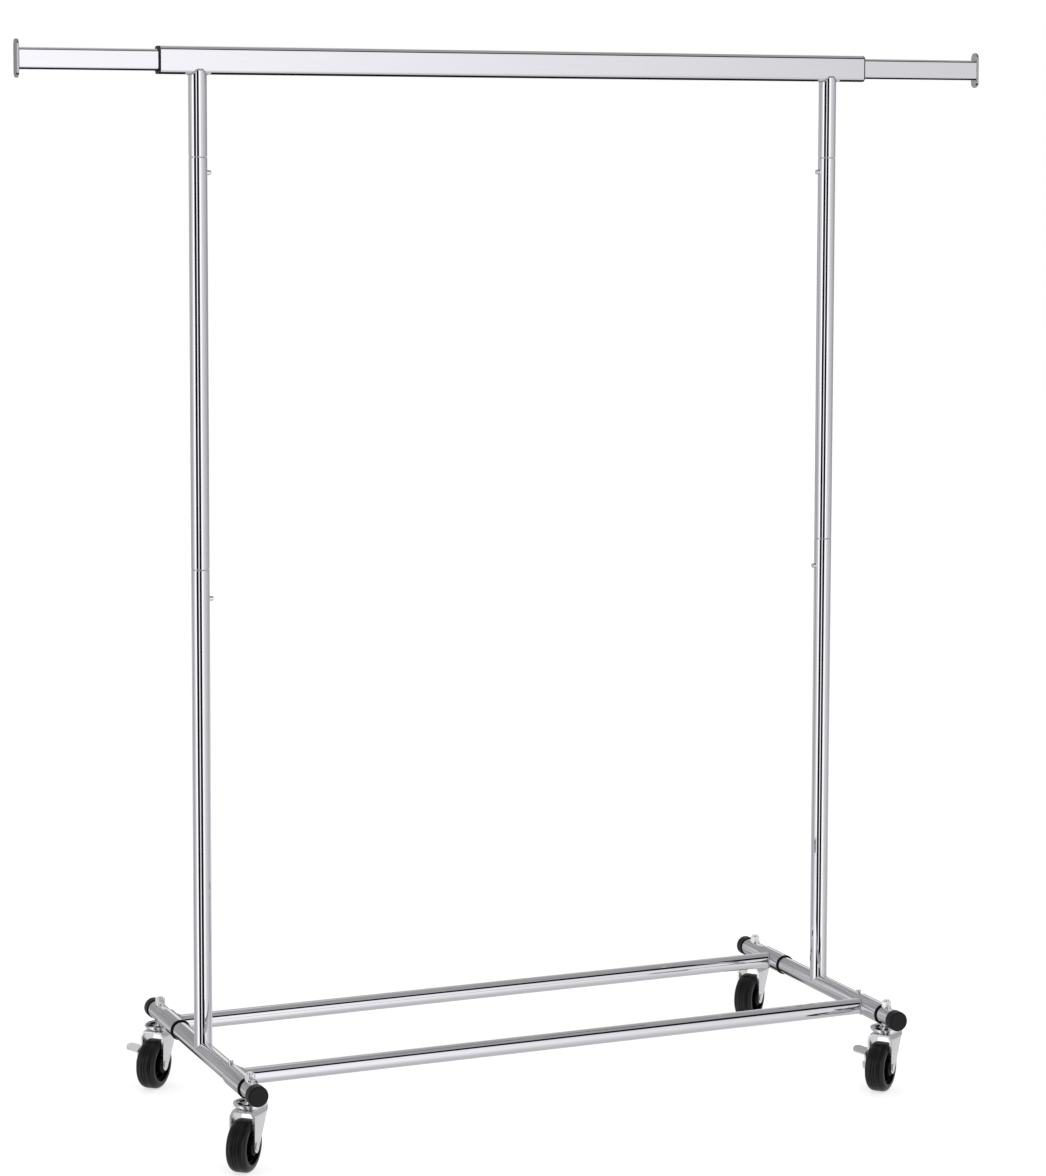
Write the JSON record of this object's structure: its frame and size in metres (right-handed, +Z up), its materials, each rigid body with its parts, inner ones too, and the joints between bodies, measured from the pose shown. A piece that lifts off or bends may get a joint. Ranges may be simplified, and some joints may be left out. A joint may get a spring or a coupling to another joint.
{
  "type": "rolling clothes rack",
  "caption": "Rolling clothes rack: two upright posts on a tube base with swivel casters, and a flat hanging rail with a pull-out bar at each end.",
  "frame": {"origin": "on the floor, midway between the posts and between the casters' stems", "axes": "+X along the hanging rail to the right as seen from the front, +Y from the front to the back, +Z up"},
  "size_m": [1.476, 0.5023, 1.5031],
  "materials": {
    "chrome": "polished",
    "zinc": "satin",
    "spring_steel": "satin",
    "black_plastic": "satin",
    "hub_plastic": "matt",
    "tyre_rubber": "matt"
  },
  "bodies": {
    "frame": {"front_rail": "chrome", "back_rail": "chrome", "rail_collars": "chrome", "collar_rings": "black_plastic", "left_leg": "chrome", "right_leg": "chrome", "leg_caps": "black_plastic", "left_lower_post": "chrome", "right_lower_post": "chrome", "left_middle_post": "chrome", "right_middle_post": "chrome", "left_top_stub": "chrome", "right_top_stub": "chrome", "lower_spigots": "zinc", "upper_spigots": "zinc", "button_clips": "spring_steel", "hanging_sleeve": "chrome", "sleeve_guides": "black_plastic", "weld_beads": "chrome", "caster_heads": "zinc", "caster_stems": "zinc", "stem_nuts": "zinc"},
    "left_extension": {"left_bar": "chrome", "left_slider": "black_plastic", "left_end_plate": "chrome"},
    "right_extension": {"right_bar": "chrome", "right_slider": "black_plastic", "right_end_plate": "chrome"},
    "left_lower_button": {"left_lower_button": "zinc"},
    "right_lower_button": {"right_lower_button": "zinc"},
    "left_upper_button": {"left_upper_button": "zinc"},
    "right_upper_button": {"right_upper_button": "zinc"},
    "left_leg_button": {"left_leg_button": "zinc"},
    "right_leg_button": {"right_leg_button": "zinc"},
    "front_left_swivel": {"front_left_fork": "zinc", "front_left_axle": "zinc"},
    "front_left_wheel": {"front_left_tyre": "tyre_rubber", "front_left_hub": "hub_plastic"},
    "front_right_swivel": {"front_right_fork": "zinc", "front_right_axle": "zinc"},
    "front_right_wheel": {"front_right_tyre": "tyre_rubber", "front_right_hub": "hub_plastic"},
    "front_right_brake": {"front_right_lever": "zinc"},
    "back_left_swivel": {"back_left_fork": "zinc", "back_left_axle": "zinc"},
    "back_left_wheel": {"back_left_tyre": "tyre_rubber", "back_left_hub": "hub_plastic"},
    "back_left_brake": {"back_left_lever": "zinc"},
    "back_right_swivel": {"back_right_fork": "zinc", "back_right_axle": "zinc"},
    "back_right_wheel": {"back_right_tyre": "tyre_rubber", "back_right_hub": "hub_plastic"}
  },
  "joints": [
    {"name": "left_extension_slide", "type": "slide", "parent": "frame", "child": "left_extension", "axis": [1, 0, 0], "range_m": [0, 0.188]},
    {"name": "right_extension_slide", "type": "slide", "parent": "frame", "child": "right_extension", "axis": [-1, 0, 0], "range_m": [0, 0.188]},
    {"name": "left_lower_button_press", "type": "slide", "parent": "frame", "child": "left_lower_button", "axis": [-1, 0, 0], "range_m": [0, 0.005], "stiffness_N_per_m": 1000, "springref_m": -0.002},
    {"name": "right_lower_button_press", "type": "slide", "parent": "frame", "child": "right_lower_button", "axis": [1, 0, 0], "range_m": [0, 0.005], "stiffness_N_per_m": 1000, "springref_m": -0.002},
    {"name": "left_upper_button_press", "type": "slide", "parent": "frame", "child": "left_upper_button", "axis": [-1, 0, 0], "range_m": [0, 0.005], "stiffness_N_per_m": 1000, "springref_m": -0.002},
    {"name": "right_upper_button_press", "type": "slide", "parent": "frame", "child": "right_upper_button", "axis": [1, 0, 0], "range_m": [0, 0.005], "stiffness_N_per_m": 1000, "springref_m": -0.002},
    {"name": "left_leg_button_press", "type": "slide", "parent": "frame", "child": "left_leg_button", "axis": [0, 0, -1], "range_m": [0, 0.005], "stiffness_N_per_m": 1000, "springref_m": -0.002},
    {"name": "right_leg_button_press", "type": "slide", "parent": "frame", "child": "right_leg_button", "axis": [0, 0, -1], "range_m": [0, 0.005], "stiffness_N_per_m": 1000, "springref_m": -0.002},
    {"name": "front_left_swivel_turn", "type": "hinge", "parent": "frame", "child": "front_left_swivel", "pos_m": [-0.485, -0.208, 0.0805], "axis": [0, 0, 1], "continuous": true},
    {"name": "front_left_wheel_roll", "type": "hinge", "parent": "front_left_swivel", "child": "front_left_wheel", "pos_m": [-0.49943, -0.2246, 0.0355], "axis": [0.7547, -0.6561, 0], "continuous": true},
    {"name": "front_right_swivel_turn", "type": "hinge", "parent": "frame", "child": "front_right_swivel", "pos_m": [0.485, -0.208, 0.0805], "axis": [0, 0, 1], "continuous": true},
    {"name": "front_right_wheel_roll", "type": "hinge", "parent": "front_right_swivel", "child": "front_right_wheel", "pos_m": [0.4684, -0.22243, 0.0355], "axis": [0.6561, -0.7547, 0], "continuous": true},
    {"name": "front_right_brake_press", "type": "hinge", "parent": "front_right_swivel", "child": "front_right_brake", "pos_m": [0.4684, -0.22243, 0.0355], "axis": [0.6561, -0.7547, 0], "range_deg": [0, 30]},
    {"name": "back_left_swivel_turn", "type": "hinge", "parent": "frame", "child": "back_left_swivel", "pos_m": [-0.485, 0.208, 0.0805], "axis": [0, 0, 1], "continuous": true},
    {"name": "back_left_wheel_roll", "type": "hinge", "parent": "back_left_swivel", "child": "back_left_wheel", "pos_m": [-0.5, 0.19191, 0.0355], "axis": [0.7314, -0.682, 0], "continuous": true},
    {"name": "back_left_brake_press", "type": "hinge", "parent": "back_left_swivel", "child": "back_left_brake", "pos_m": [-0.5, 0.19191, 0.0355], "axis": [0.7314, -0.682, 0], "range_deg": [0, 30]},
    {"name": "back_right_swivel_turn", "type": "hinge", "parent": "frame", "child": "back_right_swivel", "pos_m": [0.485, 0.208, 0.0805], "axis": [0, 0, 1], "continuous": true},
    {"name": "back_right_wheel_roll", "type": "hinge", "parent": "back_right_swivel", "child": "back_right_wheel", "pos_m": [0.4684, 0.19357, 0.0355], "axis": [0.6561, -0.7547, 0], "continuous": true}
  ]
}
